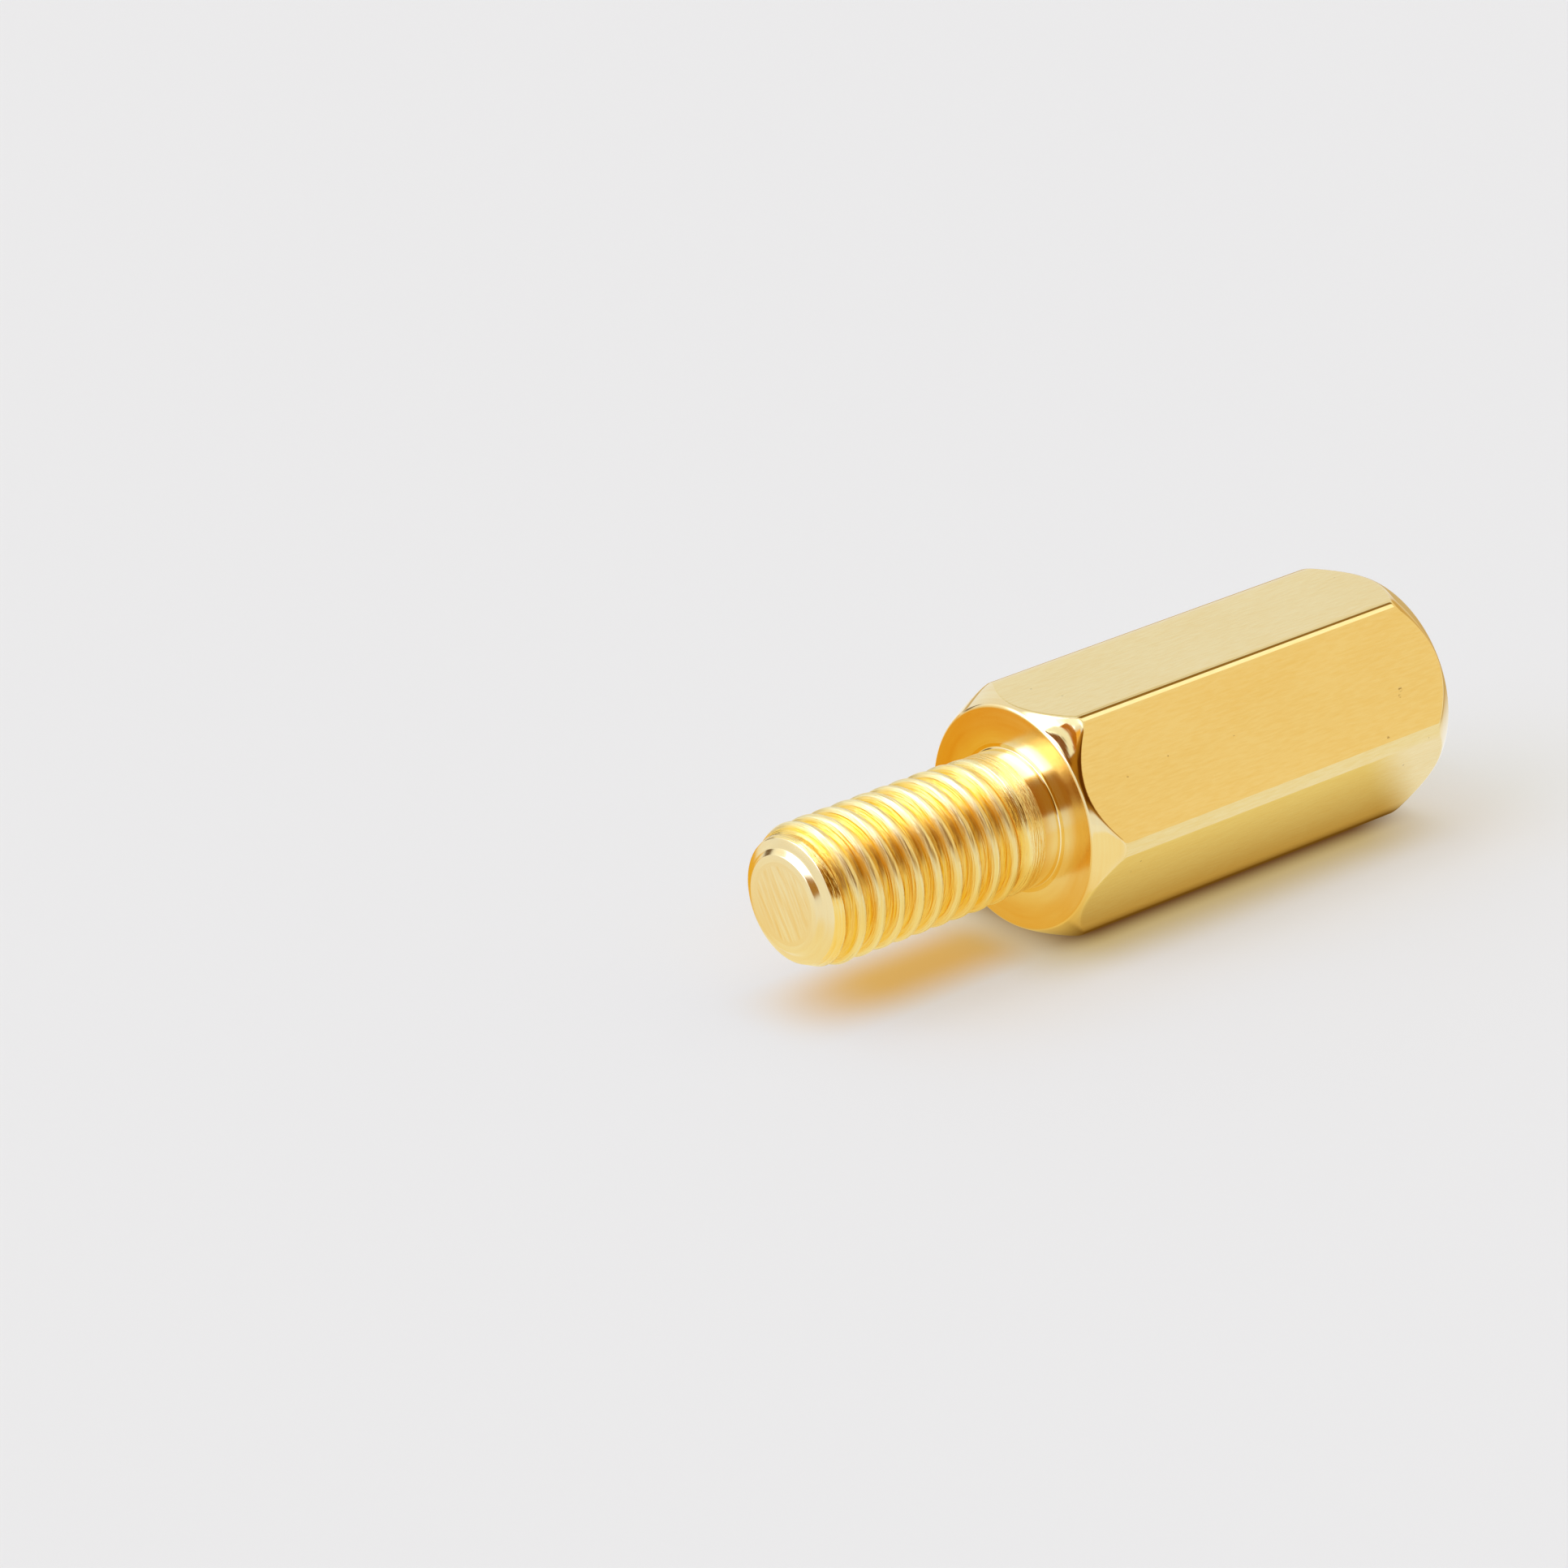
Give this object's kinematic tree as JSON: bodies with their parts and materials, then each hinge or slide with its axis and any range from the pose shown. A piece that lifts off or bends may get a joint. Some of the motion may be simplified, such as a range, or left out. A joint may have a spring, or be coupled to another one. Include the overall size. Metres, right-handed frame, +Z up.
{
  "type": "hex standoff",
  "caption": "Male-female hexagonal spacer, with a threaded stud on one end and a tapped hole in the other, that holds a board or panel at a set height.",
  "frame": {"origin": "on the surface that the standoff lies on, under the middle of its whole length", "axes": "+X along the hex axis, out of the tapped end; the stud points to -X; +Z up, out of the flat on top"},
  "size_m": [0.016, 0.0054, 0.0047],
  "materials": {
    "brass": "bright, with a fine drawn grain along the flats and turned marks round the ends and the stud"
  },
  "bodies": {
    "root": {"standoff": "brass"}
  },
  "joints": []
}
